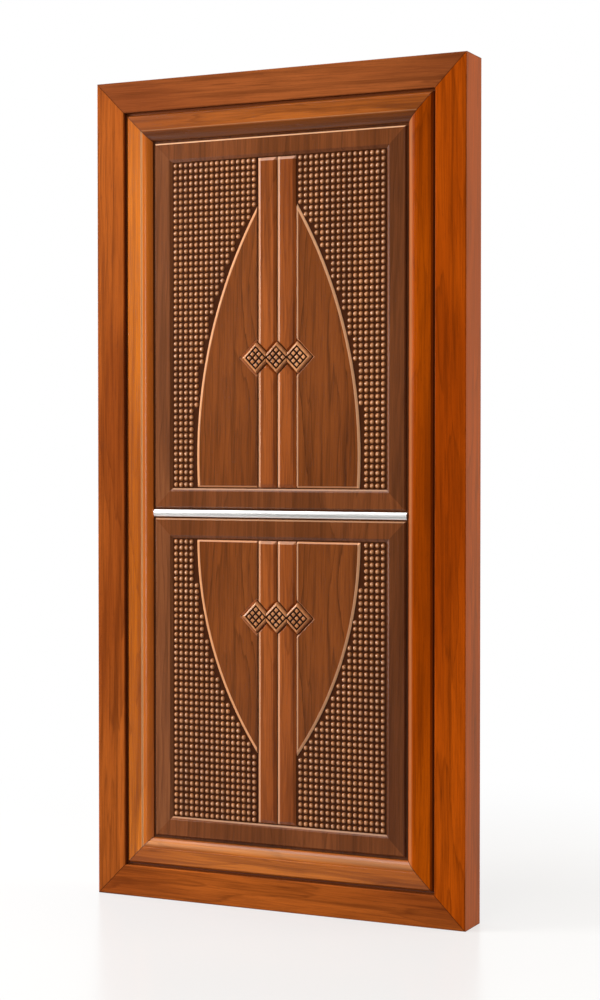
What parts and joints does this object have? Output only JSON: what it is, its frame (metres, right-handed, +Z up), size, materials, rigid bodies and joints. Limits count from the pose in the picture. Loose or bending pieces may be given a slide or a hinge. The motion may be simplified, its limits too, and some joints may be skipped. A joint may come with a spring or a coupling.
{
  "type": "lattice panel door",
  "caption": "Wooden entrance door in a mitred frame: a hinged leaf with carved bead lattice, pointed arch panels, centre strips, carved diamonds and a metal strip.",
  "frame": {"origin": "middle of the sill's underside, at half the frame's depth", "axes": "+Z up, +X to the right seen from the carved front, +Y to the back, the way that the leaf opens"},
  "size_m": [1.02, 0.1, 2.1],
  "materials": {
    "outer_frame": "satin varnish, red-brown",
    "stop_moulding": "satin varnish, golden brown",
    "inner_timber": "sawn, unvarnished",
    "leaf_border": "satin varnish, dark brown",
    "bead_lattice": "satin varnish, carved",
    "arch_panel": "satin varnish, brown",
    "centre_strip": "satin varnish, red-brown",
    "diamond": "satin varnish, carved",
    "metal_strip": "polished",
    "hinge_steel": "brushed"
  },
  "bodies": {
    "frame": {"outer_left_jamb": "outer_frame", "outer_right_jamb": "outer_frame", "outer_head": "outer_frame", "outer_sill": "outer_frame", "stop_moulding_left": "stop_moulding", "stop_moulding_right": "stop_moulding", "stop_moulding_top": "stop_moulding", "stop_moulding_bottom": "stop_moulding", "hinge_frame_plate_bottom": "hinge_steel", "hinge_frame_plate_middle": "hinge_steel", "hinge_frame_plate_top": "hinge_steel", "hinge_pin_bottom": "hinge_steel", "hinge_pin_middle": "hinge_steel", "hinge_pin_top": "hinge_steel", "frame_hinge_screws": "hinge_steel"},
    "leaf": {"leaf_hinge_stile": "inner_timber", "leaf_lock_stile": "inner_timber", "leaf_top_rail": "inner_timber", "leaf_middle_rail": "inner_timber", "leaf_bottom_rail": "inner_timber", "upper_core": "inner_timber", "lower_core": "inner_timber", "front_skin": "leaf_border", "back_skin": "leaf_border", "upper_border_left": "leaf_border", "upper_border_right": "leaf_border", "upper_border_top": "leaf_border", "upper_border_bottom": "leaf_border", "lower_border_left": "leaf_border", "lower_border_right": "leaf_border", "lower_border_top": "leaf_border", "lower_border_bottom": "leaf_border", "upper_bead_lattice_left": "bead_lattice", "upper_bead_lattice_right": "bead_lattice", "lower_bead_lattice_left": "bead_lattice", "lower_bead_lattice_right": "bead_lattice", "upper_arch_panel_left": "arch_panel", "upper_arch_panel_right": "arch_panel", "lower_arch_panel_left": "arch_panel", "lower_arch_panel_right": "arch_panel", "upper_strip_left_above": "centre_strip", "upper_strip_left_below": "centre_strip", "upper_strip_right_above": "centre_strip", "upper_strip_right_below": "centre_strip", "lower_strip_left_above": "centre_strip", "lower_strip_left_below": "centre_strip", "lower_strip_right_above": "centre_strip", "lower_strip_right_below": "centre_strip", "upper_diamond_left": "diamond", "upper_diamond_middle": "diamond", "upper_diamond_right": "diamond", "lower_diamond_left": "diamond", "lower_diamond_middle": "diamond", "lower_diamond_right": "diamond", "metal_strip": "metal_strip", "hinge_leaf_plate_bottom": "hinge_steel", "hinge_leaf_plate_middle": "hinge_steel", "hinge_leaf_plate_top": "hinge_steel", "leaf_hinge_screws": "hinge_steel"}
  },
  "joints": [
    {"name": "leaf_swing", "type": "hinge", "parent": "frame", "child": "leaf", "pos_m": [-0.3675, 0.019, 1.05], "axis": [0, 0, 1], "range_deg": [0, 110]}
  ]
}
